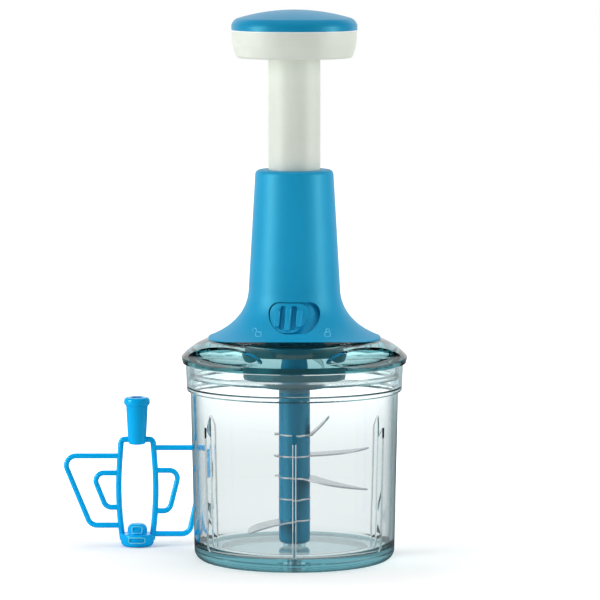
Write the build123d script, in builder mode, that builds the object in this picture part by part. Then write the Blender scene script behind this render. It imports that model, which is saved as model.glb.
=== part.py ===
"""Push-down food chopper: a clear bowl, a screw-driven blade shaft and a mixing paddle.

Millimetres, +Z up. The origin lies on the surface that the bowl stands on, under
the blade shaft. The lock button is on the -Y side.
"""
from build123d import *
from math import cos, radians, sin, sqrt
import os

os.makedirs("parts", exist_ok=True)

# ---------------------------------------------------------------- driving dimensions

# Bowl
bowl_base_r = 62.1
bowl_shoulder_r = 64.5
bowl_wall = 2.3
bowl_foot_fillet = 6.5
bowl_recess_r = 45.0
bowl_recess = 4.5
floor_z = 8.5
floor_fillet = 5.0
collar_height = 17.5
collar_base_r = 66.7
collar_top_r = 67.6
collar_wall = 2.6
rim_z = 123.0
ledge_rise = 1.0
soft_edge = 1.0
crisp_edge = 0.7
rib_count = 6
rib_height = 80.0
rib_width = 2.4
rib_depth = 3.6
rib_taper = 9.5

# Lid
lid_wall = 2.4
lid_height = 14.8
lid_overhang = 2.6
lid_edge_height = 3.9
lid_edge_lean = 0.9
lid_shoulder_r = 54.0
lid_slope_bulge = 1.5
skirt_depth = 12.0
skirt_wall = 2.0
skirt_gap = 1.6
seal_height = 3.8
seal_groove = 1.2
seal_overhang = 1.3
seal_rise = 3.0
seal_root = 0.4
scoop_count = 4
scoop_wall_r = 56.8
scoop_drop = 8.3
scoop_lean = 1.6
scoop_slope = 19.5
scoop_fillet = 5.0
scoop_half_length = 43.5
# The seam between lid and tower rises towards the front and the back
seam_rise = 6.1
seam_dip = 0.3

# Tower housing
tower_height = 104.9
tower_top_r = 24.1
tower_waist_r = 28.4
tower_waist_rise = 30.2
tower_top_fillet = 3.0
tower_wall = 2.6
bush_depth = 16.7
flange_r = 53.4
flange_rise = 1.3
flare_neck_drop = 11.5
flare_neck_out = 0.65
flare_foot_in = 16.8
flare_foot_rise = 6.5
# How far each point of the flare's curve moves, in and down, for each unit of inset
neck_pull_share = 0.35
foot_share = (0.36, 0.93)
foot_pull_share = (0.85, 0.75)
skin_inset = 1.0
housing_post_r = 3.5
housing_rib_drop = 2.0
tower_screw_bite = 6.9

# Plunger
tube_r = 16.05
tube_bore_r = 12.6
tube_skirt_bore_r = 13.85
travel = 55.0
press_gap = 0.8
knob_gap = 13.9
knob_height = 17.0
knob_r = 38.8
knob_floor_r = 33.5
knob_wall = 2.2
knob_web = 2.4
knob_foot_round = 2.6
knob_belly_round = 6.0
knob_socket_depth = 12.4
cap_side = 3.0
cap_shoulder_r = 35.4
cap_shoulder_rise = 7.3
cap_rise = 12.6
cap_plug = 4.1
cap_plug_wall = 1.6
cap_plug_taper = 0.4
cap_corner_in = 0.9
cap_corner_rise = 2.1
knob_belly_z = 7.5
knob_draft = 0.7
knob_foot_out = 2.2
pillar_circle_r = 9.0
pillar_r = 3.4
pillar_height = 10.0
pillar_bore_depth = 8.0
tube_end_wall = 3.5

# Drive screw
lead = 110.0 / 3
strip_width = 9.0
strip_thickness = 3.0
strip_reach = 20.0
strip_clearance = 0.3
nut_height = 9.0
nut_key_width = 3.0
nut_key_r = 14.9
spindle_journal_r = 6.0
spindle_flange_r = 9.5
spindle_flange = 2.1
spindle_hex = 8.0

# Return spring
spring_mean_r = 11.3
spring_wire = 1.2
spring_turns = 9.0

# Base plate, bush and fixings
plate_r = 45.5
plate = 2.5
plate_post_r = 3.2
screw_room = 0.2
bush_flange = 1.0
bush_wall = 2.35
washer = 0.6
boss_wall = 1.8
boss_rise = 2.3
guide_r = 21.0
guide_wall = 2.0
guide_height = 12.7
tower_screw_circle_r = 31.0
hub_screw_circle_r = 22.2
screw_count = 3
screw_shank_r = 1.4
screw_head_r = 2.7
screw_head = 1.9

# Hub under the lid
hub_r = 31.6
hub_depth = 23.6
hub_bore_r = 26.0
hub_round = 1.2
hub_floor = 2.4
hub_neck_r = 28.5
hub_screw_web = 5.0
hub_screw_length = 9.2
hub_post_r = 4.0

# One-way clutch
clutch_bore_r = 14.0
clutch_wall = 3.5
clutch_floor = 1.6
roller_count = 3
roller_r = 2.0
roller_length = 7.0
star_base = 0.8
cover = 0.8
output_journal_r = 10.2
output_hex = 15.0
hub_bush_wall = 1.7
hub_bush_flange = 0.8
hub_bush_flange_r = 15.5
coupling_r = 19.3
coupling_height = 5.0
coupling_gap = 0.5
coupling_round = 1.6
spindle_screw_head = 1.5
spindle_screw_head_r = 5.4
spindle_screw_r = 1.5
spindle_screw_length = 7.0

# Blade shaft
shaft_r = 9.65
core_hex = 8.0
shaft_foot_height = 14.6
tier_pitch = 13.35
tier_count = 5
blade_thickness = 1.0
eye_r = 9.95
blade_tail_r = 12.4
blade_tail_width = 6.0
blade_bend_r = 10.6
blade_root_width = 14.0
blade_sweep_r = 50.5
top_blade_sweep_r = 26.0
# The arm's two curved edges: each passes its own point, as shares of length and half root
blade_belly = (0.55, -1.25)
blade_back = (0.5, 0.3)
blade_tip = 0.35
blade_lap = 0.2
foot_gap = 0.3
foot_fillet = 2.5
pin_r = 3.0
pin_top_z = 18.4
pin_nose = 1.2
pin_skin = 1.0
pin_boss_r = 7.0
pin_boss = 1.4
foot_bush_wall = 1.5
core_rod_seat = 9.0

# Lock
lock_half_width = 15.8
lock_top_rise = 25.2
lock_bottom_rise = 6.9
lock_top_fillet = 6.6
lock_bottom_fillet = 11.4
lock_recess = 2.5
lock_pad_wall = 1.6
lock_travel = 13.2
button_half_width = 11.7
button_edge_gap = 0.6
button_face = 0.3
ridge_count = 3
ridge_pitch = 6.8
ridge_width = 3.4
ridge_proud = 1.3
ridge_margin = 1.6
ridge_shortening = 1.9
ridge_corner = 1.5
ridge_bevel = 0.7
groove_depth = 1.6
stem_width = 4.0
stem_height = 3.6
stem_rise = 13.8
ring_wall = 2.7
ring_lip = 2.2
ring_skirt = 9.1
lip_r = 18.0
lug_r = 20.5
lug_angle = 14.0
lug_proud = 4.0
lug_flange_r = 17.5
lug_flange = 4.0
lug_count = 3
gate_gap = 2.0
stop_r = 19.0
stop_height = 2.9
bumper = 1.5
notch_depth = 1.7
key_width = 6.0
key_r = 21.5
guide_rib = 1.6
guide_rib_r = 19.6

# Mixing paddle
paddle_x = -99.7
paddle_y = 49.0
paddle_height = 95.0
bar = 3.7
loop_bar = 3.4
socket_lip_r = 8.2
socket_r = 6.9
socket_neck_r = 5.6
socket_lip = 4.4
socket_lip_round = 1.9
socket_length = 30.0
socket_depth = 17.0
frame_seat = 3.1
frame_half_width = 10.05
frame_waist_half_width = 12.8
frame_waist_z = 31.0
frame_foot_half_width = 9.3
frame_corner = 2.5
frame_bow = 220.0
loop_root = 10.6
paddle_hub_r = 10.9
paddle_hub = 8.0
paddle_hub_lean = 0.8
paddle_hub_round = 2.8
paddle_dome_r = 6.2
paddle_dome_z = 14.4
paddle_dome_round = 3.6
window_rim = 0.7
window_proud = 0.4
hub_window = (11.0, 4.2)
hub_window_z = 4.9
hub_window_corner = 1.2
dome_window = (6.9, 4.8)
dome_window_z = 10.9
dome_window_corner = 2.2
paddle_pin_gap = 0.3
paddle_pin_depth = 7.0

# Clearances
running = 0.05
slide_gap = 0.15
free_gap = 0.3
seat_gap = 0.1
end_play = 0.4

# ------------------------------------------------------------------ worked-out levels

collar_z = rim_z - collar_height
rib_top_z = floor_z + rib_height
lid_top_z = rim_z + lid_height
lid_under_z = lid_top_z - lid_wall
lid_edge_r = collar_top_r + lid_overhang
skirt_r = collar_top_r - collar_wall - skirt_gap
skirt_z = rim_z - skirt_depth
plate_top_z = lid_top_z + plate
tower_top_z = lid_top_z + tower_height
tower_waist_z = lid_top_z + tower_waist_rise
housing_rib_z = tower_waist_z - housing_rib_drop
bush_z = tower_top_z - bush_depth
lock_top_z = lid_top_z + lock_top_rise
lock_bottom_z = lid_top_z + lock_bottom_rise
stem_z = lid_top_z + stem_rise
knob_z = tower_top_z + travel + knob_gap
knob_seam_z = knob_z + knob_height
strip_top_z = bush_z + strip_reach
hub_z = lid_top_z - hub_depth
boss_r = spindle_journal_r + running + bush_wall + boss_wall
bush_r = spindle_journal_r + running + bush_wall
bush_flange_r = boss_r - end_play
boss_top_z = plate_top_z + boss_rise
thrust_z = boss_top_z + bush_flange + washer
spindle_flange_z = thrust_z + seat_gap
strip_z = spindle_flange_z + spindle_flange
hub_inside_z = hub_z + hub_floor
ring_floor_z = hub_inside_z + hub_bush_flange + 2 * seat_gap
clutch_inside_z = ring_floor_z + clutch_floor
star_z = clutch_inside_z + spindle_screw_head + 2 * seat_gap
star_top_z = star_z + star_base + roller_length + free_gap
cover_top_z = star_top_z + cover
boss_z = cover_top_z + end_play
coupling_top_z = hub_z - coupling_gap
coupling_z = coupling_top_z - coupling_height
tube_z = plate_top_z + press_gap + travel
lug_flange_z = plate_top_z + guide_height - end_play / 2 - lug_flange + travel
bumper_z = bush_z - seat_gap - bumper
stop_z = bumper_z - stop_height
nut_top_z = bush_z
nut_z = nut_top_z - nut_height
guide_top_z = plate_top_z + guide_height
lip_z = guide_top_z + free_gap
foot_z = floor_z + pin_boss + foot_gap
pin_z = bowl_recess + pin_skin
tier_levels = [
    foot_z + shaft_foot_height + tier_pitch * (tier_count - 1 - tier)
    for tier in range(tier_count)
]
frame_top_z = paddle_height - socket_length + frame_seat


# --------------------------------------------------------------------- shared forms

def tube(low, high, outer, inner=0.0, mode=Mode.ADD):
    """A round disc or ring about the Z axis, for use inside a BuildPart block."""
    with BuildSketch(Plane.XY.offset(low)) as ring:
        Circle(outer)
        if inner > 0:
            Circle(inner, mode=Mode.SUBTRACT)
    extrude(ring.sketch, amount=high - low, mode=mode)


def hex_prism(low, high, across_flats, mode=Mode.ADD):
    """A hexagonal prism about the Z axis, for use inside a BuildPart block."""
    with BuildSketch(Plane.XY.offset(low)) as hexagon:
        RegularPolygon(across_flats / 2, 6, major_radius=False)
    extrude(hexagon.sketch, amount=high - low, mode=mode)


def rounds(low, high, radius, circle_r, count, start, mode=Mode.ADD):
    """Round posts or holes on a circle, for use inside a BuildPart block."""
    with BuildSketch(Plane.XY.offset(low)) as circles:
        with PolarLocations(circle_r, count, start_angle=start):
            Circle(radius)
    extrude(circles.sketch, amount=high - low, mode=mode)


def radial_plane(angle):
    """The upright plane whose local x points out from the axis at this angle."""
    out = (cos(radians(angle)), sin(radians(angle)), 0)
    across = (sin(radians(angle)), -cos(radians(angle)), 0)
    return Plane(origin=(0, 0, 0), x_dir=out, z_dir=across)


def tower_form(inset):
    """The tower's outer form, moved in by a distance along its surface normals."""
    neck = (tower_waist_r - inset, tower_waist_z)
    neck_pull = (
        tower_waist_r + flare_neck_out - inset,
        tower_waist_z - flare_neck_drop - neck_pull_share * inset,
    )
    foot = (flange_r - foot_share[0] * inset, lid_top_z + flange_rise - foot_share[1] * inset)
    foot_pull = (
        flange_r - flare_foot_in - foot_pull_share[0] * inset,
        lid_top_z + flange_rise + flare_foot_rise - foot_pull_share[1] * inset,
    )
    floor = skirt_z
    with BuildPart() as form:
        with BuildSketch(Plane.XZ):
            with BuildLine():
                Bezier(neck, neck_pull, foot_pull, foot)
                Polyline(foot, (foot[0], floor), (0, floor), (0, tower_top_z - inset))
                FilletPolyline(
                    (0, tower_top_z - inset),
                    (tower_top_r - inset, tower_top_z - inset),
                    neck,
                    radius=max(tower_top_fillet - inset, crisp_edge),
                )
            make_face()
        revolve(axis=Axis.Z)
    return form.part


def seam_form(lift):
    """All that lies under the seam between the lid and the tower, moved up by a distance."""
    low = lid_top_z + lift
    front = (-lid_edge_r, low + seam_rise)
    back = (lid_edge_r, low + seam_rise)
    with BuildPart() as form:
        with BuildSketch(Plane.YZ):
            with BuildLine():
                ThreePointArc(front, (0, low - seam_dip), back)
                Polyline(back, (lid_edge_r, skirt_z), (-lid_edge_r, skirt_z), front)
            make_face()
        extrude(amount=lid_edge_r, both=True)
    return form.part


def twisted_strip(low, high, width, thickness):
    """A flat strip twisted to the screw's lead; its angle depends on height alone."""
    turn = 360 * (high - low) / lead
    start = 360 * (low - strip_z) / lead
    section = Plane.XY.offset(low) * Rot(0, 0, start) * Rectangle(width, thickness)
    return Solid.extrude_linear_with_rotation(
        section.face(), (0, 0, low), (0, 0, high - low), turn
    )


def screws(head_z, shank_z, point_z, circle_r, start):
    """A ring of equal pan-head screws, heads down or up, as separate solids."""
    with BuildPart() as group:
        rounds(min(head_z, shank_z), max(head_z, shank_z), screw_head_r, circle_r, screw_count, start)
        rounds(min(shank_z, point_z), max(shank_z, point_z), screw_shank_r, circle_r, screw_count, start)
    return group


def lock_outline(half_width, shrink):
    """The lock's rounded outline, tighter at the top corners than at the bottom ones."""
    FilletPolyline(
        (-half_width, lock_top_z - shrink),
        (half_width, lock_top_z - shrink),
        (half_width, lock_bottom_z + shrink),
        (-half_width, lock_bottom_z + shrink),
        radius=[lock_top_fillet - shrink] * 2 + [lock_bottom_fillet - shrink] * 2,
        close=True,
    )


def save(part, name):
    """Label a finished piece and write it."""
    part.part.label = name
    export_step(part.part, f"parts/{name}.step")


# ------------------------------------------------------------------------------ bowl

bowl_bore_base_r = bowl_base_r - bowl_wall
bowl_bore_top_r = bowl_shoulder_r - bowl_wall
collar_bore_r = collar_top_r - collar_wall
wall_slope = (bowl_shoulder_r - bowl_base_r) / collar_z

with BuildPart() as bowl:
    with BuildSketch(Plane.XZ):
        with BuildLine():
            FilletPolyline(
                (0, floor_z),
                (bowl_bore_base_r + wall_slope * floor_z, floor_z),
                (bowl_bore_top_r, collar_z + collar_wall),
                (collar_bore_r, collar_z + collar_wall + ledge_rise),
                (collar_bore_r, rim_z),
                (collar_top_r, rim_z),
                (collar_base_r, collar_z),
                (bowl_shoulder_r, collar_z),
                (bowl_base_r, 0),
                (bowl_recess_r, 0),
                (bowl_recess_r, bowl_recess),
                (0, bowl_recess),
                radius=[
                    0, floor_fillet, soft_edge, 0, crisp_edge, crisp_edge, soft_edge,
                    crisp_edge, bowl_foot_fillet, crisp_edge, soft_edge, 0,
                ],
                close=True,
            )
        make_face()
    revolve(axis=Axis.Z)
    tube(floor_z - pin_skin, floor_z + pin_boss, pin_boss_r)
    tube(pin_z, floor_z + pin_boss, pin_r, mode=Mode.SUBTRACT)

rib_base_r = bowl_bore_base_r + wall_slope * floor_z
rib_top_r = bowl_bore_base_r + wall_slope * rib_top_z
with BuildPart() as bowl_rib:
    with BuildSketch(Plane.XZ):
        with BuildLine():
            Polyline(
                (rib_base_r + bowl_wall / 2, floor_z - bowl_wall / 2),
                (rib_base_r - rib_depth, floor_z - bowl_wall / 2),
                (rib_top_r - rib_depth, rib_top_z - rib_taper),
                (rib_top_r + bowl_wall / 2, rib_top_z),
                close=True,
            )
        make_face()
    extrude(amount=rib_width / 2, both=True)
    front_edges = bowl_rib.edges().filter_by(Axis.Y, reverse=True).group_by(Axis.X)[0]
    fillet(front_edges, crisp_edge)

with BuildPart() as ribbed_bowl:
    add(bowl.part)
    with PolarLocations(0, rib_count, start_angle=-90):
        add(bowl_rib.part)
save(ribbed_bowl, "bowl")

with BuildPart() as pivot_pin:
    tube(pin_z, pin_top_z, pin_r)
    fillet(pivot_pin.edges().sort_by(Axis.Z)[-1], pin_nose)
save(pivot_pin, "pivot_pin")

# ------------------------------------------------------------------------- lid, seal

with BuildPart() as flared_foot:
    add(tower_form(0))
    split(bisect_by=Plane.XY.offset(lid_top_z), keep=Keep.TOP)
    foot_rim = flared_foot.edges().filter_by(GeomType.CIRCLE).sort_by(SortBy.RADIUS)[-2:]
    fillet(foot_rim.sort_by(Axis.Z)[-1], crisp_edge / 2)

with BuildPart() as lid_crown:
    add(flared_foot.part)
    add(seam_form(0), mode=Mode.INTERSECT)
    tube(lid_top_z, tower_top_z, plate_r + free_gap, mode=Mode.SUBTRACT)

cut_top_z = lid_top_z + scoop_fillet
cut_r = lid_edge_r + lid_height / 2
slope_mid = (
    (lid_shoulder_r + lid_edge_r) / 2,
    (lid_top_z + rim_z + lid_edge_height) / 2 + lid_slope_bulge,
)
edge_in_r = lid_edge_r - lid_edge_lean
under_run = lid_edge_r - lid_shoulder_r
under_fall = lid_height - lid_edge_height
skirt_in_r = skirt_r - skirt_wall
under_at_skirt_z = lid_under_z - under_fall * (skirt_in_r - lid_shoulder_r) / under_run
scoop_floor_z = lid_top_z - scoop_drop

with BuildPart() as scoop:
    with BuildSketch(radial_plane(0)):
        with BuildLine():
            fall = (cut_r - scoop_wall_r) * sin(radians(scoop_slope))
            FilletPolyline(
                (scoop_wall_r, cut_top_z),
                (scoop_wall_r + scoop_lean, scoop_floor_z),
                (cut_r, scoop_floor_z - fall),
                (cut_r, cut_top_z),
                radius=[0, scoop_fillet, 0, 0],
                close=True,
            )
        make_face()
    extrude(amount=scoop_half_length, both=True)

with BuildPart() as scoop_backing:
    with BuildSketch(radial_plane(0)):
        with BuildLine():
            FilletPolyline(
                (scoop_wall_r - lid_wall, cut_top_z),
                (scoop_wall_r + scoop_lean - lid_wall, scoop_floor_z - lid_wall),
                (cut_r, scoop_floor_z - fall - lid_wall),
                (cut_r, cut_top_z),
                radius=[0, scoop_fillet + lid_wall, 0, 0],
                close=True,
            )
        make_face()
    extrude(amount=scoop_half_length, both=True)

with BuildPart() as lid_hollow:
    with BuildSketch(Plane.XZ):
        with BuildLine():
            Polyline(
                (0, skirt_z),
                (skirt_in_r, skirt_z),
                (skirt_in_r, under_at_skirt_z),
                (lid_shoulder_r, lid_under_z),
                (0, lid_under_z),
                close=True,
            )
        make_face()
    revolve(axis=Axis.Z)
    with PolarLocations(0, scoop_count, start_angle=45):
        add(scoop_backing.part, mode=Mode.SUBTRACT)

with BuildPart() as lid:
    with BuildSketch(Plane.XZ):
        with BuildLine():
            Polyline((0, lid_top_z), (0, skirt_z), (skirt_r, skirt_z), (skirt_r, rim_z), (edge_in_r, rim_z))
            Line((edge_in_r, rim_z), (lid_edge_r, rim_z + lid_edge_height))
            ThreePointArc((lid_edge_r, rim_z + lid_edge_height), slope_mid, (lid_shoulder_r, lid_top_z))
            Line((lid_shoulder_r, lid_top_z), (0, lid_top_z))
        make_face()
    revolve(axis=Axis.Z)
    add(lid_hollow.part, mode=Mode.SUBTRACT)
    with PolarLocations(0, scoop_count, start_angle=45):
        add(scoop.part, mode=Mode.SUBTRACT)
    add(lid_crown.part)
    tube(skirt_z, lid_top_z, hub_neck_r + free_gap, mode=Mode.SUBTRACT)
    groove_z = skirt_z + seal_rise
    tube(groove_z, groove_z + seal_height, skirt_r + seal_groove, skirt_r - seal_groove, mode=Mode.SUBTRACT)
save(lid, "lid")

seal_in_r = skirt_r - seal_groove + running
with BuildPart() as lid_seal:
    with BuildSketch(Plane.XZ):
        with BuildLine():
            FilletPolyline(
                (seal_in_r, groove_z),
                (skirt_r + seal_root, groove_z),
                (skirt_r + seal_overhang, groove_z + seal_height * 0.35),
                (skirt_r + seal_overhang, groove_z + seal_height * 0.75),
                (skirt_r + seal_root, groove_z + seal_height),
                (seal_in_r, groove_z + seal_height),
                radius=[0, seal_root / 2, seal_root, seal_root, seal_root / 2, 0],
                close=True,
            )
        make_face()
    revolve(axis=Axis.Z)
save(lid_seal, "lid_seal")

# --------------------------------------------------------------------- tower housing

pad_limit_form = tower_form(lock_recess + lock_pad_wall)
recess_form = tower_form(lock_recess)
skin_form = tower_form(skin_inset)
cavity_form = tower_form(tower_wall)
tower_post_start = 90
hub_post_start = 30

with BuildPart() as tower_cavity:
    add(cavity_form)
    split(bisect_by=Plane.XY.offset(plate_top_z), keep=Keep.TOP)
    split(bisect_by=Plane.XY.offset(bush_z), keep=Keep.BOTTOM)

bush_seat_r = tower_top_r - tower_wall
guide_rib_mid_r = tower_top_r
lock_mid_z = (lock_top_z + lock_bottom_z) / 2
with BuildPart() as tower_ribs:
    with BuildSketch(Plane.XY.offset(housing_rib_z)):
        for side in (-1, 1):
            for edge in (-1, 1):
                with Locations((side * guide_rib_mid_r, edge * (key_width / 2 + end_play + guide_rib / 2))):
                    Rectangle(2 * (guide_rib_mid_r - guide_rib_r), guide_rib)
    extrude(amount=bush_z - housing_rib_z)
    rounds(plate_top_z, lock_mid_z, housing_post_r, tower_screw_circle_r, screw_count, tower_post_start)
    add(skin_form, mode=Mode.INTERSECT)

with BuildPart() as lock_pad:
    with BuildSketch(radial_plane(0)):
        with BuildLine():
            lock_outline(lock_half_width + lock_pad_wall, -lock_pad_wall)
        make_face()
    extrude(amount=flange_r)
    add(skin_form, mode=Mode.INTERSECT)
    add(pad_limit_form, mode=Mode.SUBTRACT)

with BuildPart() as lock_recess_cut:
    with BuildSketch(radial_plane(0)):
        with BuildLine():
            lock_outline(lock_half_width, 0)
        make_face()
    extrude(amount=lid_edge_r)
    add(recess_form, mode=Mode.SUBTRACT)

stem_reach_r = flange_r - flare_foot_in
slot_half_width = stem_width / 2 + stem_reach_r * sin(radians(lock_travel / 2)) + free_gap

with BuildPart() as tower_housing:
    add(flared_foot.part)
    add(seam_form(seat_gap), mode=Mode.SUBTRACT)
    add(tower_cavity.part, mode=Mode.SUBTRACT)
    tube(lid_top_z, plate_top_z, plate_r + free_gap, mode=Mode.SUBTRACT)
    tube(bush_z, tower_top_z - tower_wall, bush_seat_r, mode=Mode.SUBTRACT)
    tube(bush_z, tower_top_z, tube_r + end_play, mode=Mode.SUBTRACT)
    add(tower_ribs.part)
    add(lock_pad.part)
    add(lock_recess_cut.part, mode=Mode.SUBTRACT)
    with BuildSketch(radial_plane(0)):
        with Locations((0, stem_z + stem_height / 2)):
            RectangleRounded(2 * slot_half_width, stem_height + 2 * end_play, soft_edge)
    extrude(amount=flange_r, mode=Mode.SUBTRACT)
    rounds(
        plate_top_z, plate_top_z + tower_screw_bite + end_play, screw_shank_r + running,
        tower_screw_circle_r, screw_count, tower_post_start, mode=Mode.SUBTRACT,
    )
save(tower_housing, "tower_housing")

with BuildPart() as tower_bush:
    tube(bush_z, tower_top_z - tower_wall - seat_gap, bush_seat_r - seat_gap, tube_r + slide_gap)
    chamfer(tower_bush.edges().filter_by(GeomType.CIRCLE).sort_by(SortBy.RADIUS)[:2], crisp_edge)
save(tower_bush, "tower_bush")

# --------------------------------------------------------------- lock ring and button

button_angle = -lock_travel / 2
button_plane = radial_plane(button_angle)
ring_r = guide_r + guide_wall + free_gap + ring_wall
ring_top_z = lip_z + ring_lip
lug_start = -90

with BuildPart() as lock_ring:
    tube(ring_top_z - ring_lip - ring_skirt, ring_top_z, ring_r, ring_r - ring_wall)
    tube(lip_z, ring_top_z, ring_r - ring_wall / 2, lip_r)
    gate_chord = 2 * lug_r * sin(radians(lug_angle / 2 + gate_gap))
    with BuildSketch(Plane.XY.offset(lip_z)):
        with PolarLocations(lug_r - lug_proud / 2, lug_count, start_angle=lug_start):
            Rectangle(lug_proud + 2 * end_play, gate_chord)
    extrude(amount=ring_lip, mode=Mode.SUBTRACT)
    with BuildSketch(button_plane.offset(ring_r - notch_depth)):
        with Locations((0, stem_z + stem_height)):
            Rectangle(stem_width + 2 * slide_gap, 2 * (stem_height + slide_gap))
    extrude(amount=ring_wall, mode=Mode.SUBTRACT)
save(lock_ring, "lock_ring")

button_outer = tower_form(button_face)
button_inner = tower_form(lock_recess - 2 * seat_gap)
ridge_outer = tower_form(-ridge_proud)
groove_form = tower_form(groove_depth)
stem_limit = tower_form(groove_depth + free_gap)

with BuildPart() as button_pad:
    with BuildSketch(button_plane):
        with BuildLine():
            lock_outline(button_half_width, button_edge_gap)
        make_face()
    extrude(amount=flange_r)
    add(button_outer, mode=Mode.INTERSECT)
    add(button_inner, mode=Mode.SUBTRACT)

ridge_height = lock_top_z - lock_bottom_z - 2 * (button_edge_gap + ridge_margin)

with BuildPart() as button_grooves:
    with BuildSketch(button_plane):
        for side in (-1, 1):
            with Locations((side * ridge_pitch / 2, lock_mid_z)):
                RectangleRounded(ridge_pitch - ridge_width, ridge_height, ridge_corner)
    extrude(amount=flange_r)
    add(groove_form, mode=Mode.SUBTRACT)

with BuildPart() as button_ridges:
    with BuildSketch(button_plane):
        for step in range(ridge_count):
            place = step - (ridge_count - 1) / 2
            with Locations((place * ridge_pitch, lock_mid_z)):
                RectangleRounded(ridge_width, ridge_height - 2 * abs(place) * ridge_shortening, ridge_corner)
    extrude(amount=flange_r)
    add(ridge_outer, mode=Mode.INTERSECT)
    add(groove_form, mode=Mode.SUBTRACT)
    outward = Axis((0, 0, 0), button_plane.z_dir)
    crests = [
        ridge.faces().filter_by(GeomType.REVOLUTION).sort_by(outward)[-1] for ridge in button_ridges.solids()
    ]
    chamfer([edge for crest in crests for edge in crest.edges()], ridge_bevel)

with BuildPart() as button_stem:
    with BuildSketch(button_plane.offset(ring_r - notch_depth + free_gap)):
        with Locations((0, stem_z + stem_height / 2)):
            Rectangle(stem_width, stem_height)
    extrude(amount=flange_r - ring_r)
    add(stem_limit, mode=Mode.INTERSECT)

with BuildPart() as lock_button:
    add(button_pad.part)
    add(button_grooves.part, mode=Mode.SUBTRACT)
    add(button_ridges.part)
    add(button_stem.part)
save(lock_button, "lock_button")

# ------------------------------------------------------------ base plate and bearings

plate_screw_z = lid_top_z + seat_gap
with BuildPart() as base_plate:
    tube(lid_top_z, plate_top_z, plate_r)
    tube(boss_z, boss_top_z, boss_r)
    tube(plate_top_z, guide_top_z, guide_r + guide_wall, guide_r)
    rounds(lid_top_z, plate_top_z + plate, plate_post_r, hub_screw_circle_r, screw_count, hub_post_start)
    tube(boss_z, boss_top_z, bush_r, mode=Mode.SUBTRACT)
    rounds(
        lid_top_z, lid_top_z + hub_screw_length - hub_screw_web + end_play, screw_shank_r + running,
        hub_screw_circle_r, screw_count, hub_post_start, mode=Mode.SUBTRACT,
    )
    with Locations(Plane.XY.offset(lid_top_z) * Rot(180, 0, 0)):
        with PolarLocations(tower_screw_circle_r, screw_count, start_angle=-tower_post_start):
            CounterSinkHole(screw_shank_r + screw_room, screw_head_r + slide_gap, depth=plate)
save(base_plate, "base_plate")

with BuildPart() as spindle_bush:
    tube(boss_z, boss_top_z, bush_r - running, spindle_journal_r + running)
    tube(boss_top_z, boss_top_z + bush_flange, bush_flange_r, spindle_journal_r + running)
save(spindle_bush, "spindle_bush")

with BuildPart() as thrust_washer:
    tube(boss_top_z + bush_flange, thrust_z, spindle_flange_r, spindle_journal_r + free_gap)
save(thrust_washer, "thrust_washer")

with BuildPart() as tower_screws:
    with BuildSketch(Plane.XY.offset(plate_screw_z)):
        with PolarLocations(tower_screw_circle_r, screw_count, start_angle=tower_post_start):
            Circle(screw_head_r)
    extrude(amount=screw_head_r - screw_shank_r, taper=45)
    rounds(
        plate_screw_z, plate_top_z + tower_screw_bite, screw_shank_r,
        tower_screw_circle_r, screw_count, tower_post_start,
    )
save(tower_screws, "tower_screws")

# ---------------------------------------------------------- hub and its output bearing

hub_screw_seat_z = lid_top_z - hub_screw_web
with BuildPart() as hub_housing:
    tube(hub_z, lid_under_z, hub_r)
    fillet(hub_housing.edges().sort_by(Axis.Z)[0], hub_round)
    tube(lid_under_z, lid_top_z, hub_neck_r)
    tube(hub_inside_z, lid_top_z, hub_bore_r, mode=Mode.SUBTRACT)
    rounds(hub_inside_z, lid_top_z, hub_post_r, hub_screw_circle_r, screw_count, hub_post_start)
    tube(hub_z, hub_inside_z, output_journal_r + 2 * running + hub_bush_wall, mode=Mode.SUBTRACT)
    rounds(
        hub_z, hub_screw_seat_z, screw_head_r + free_gap,
        hub_screw_circle_r, screw_count, hub_post_start, mode=Mode.SUBTRACT,
    )
    rounds(
        hub_screw_seat_z, lid_top_z, screw_shank_r + screw_room,
        hub_screw_circle_r, screw_count, hub_post_start, mode=Mode.SUBTRACT,
    )
save(hub_housing, "hub_housing")

hub_screws = screws(
    hub_screw_seat_z - screw_head, hub_screw_seat_z, hub_screw_seat_z + hub_screw_length,
    hub_screw_circle_r, hub_post_start,
)
save(hub_screws, "hub_screws")

with BuildPart() as hub_bush:
    tube(hub_z, hub_inside_z, output_journal_r + running + hub_bush_wall, output_journal_r + running)
    tube(hub_inside_z, hub_inside_z + hub_bush_flange, hub_bush_flange_r, output_journal_r + running)
save(hub_bush, "hub_bush")

# ------------------------------------------------------------------------- plunger

bore_r = tube_r + slide_gap
socket_top_z = knob_z + knob_socket_depth
pillar_start = 90
pillar_z = socket_top_z - pillar_height
tube_end_z = socket_top_z - 2 * seat_gap
end_wall_z = socket_top_z - tube_end_wall

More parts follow.
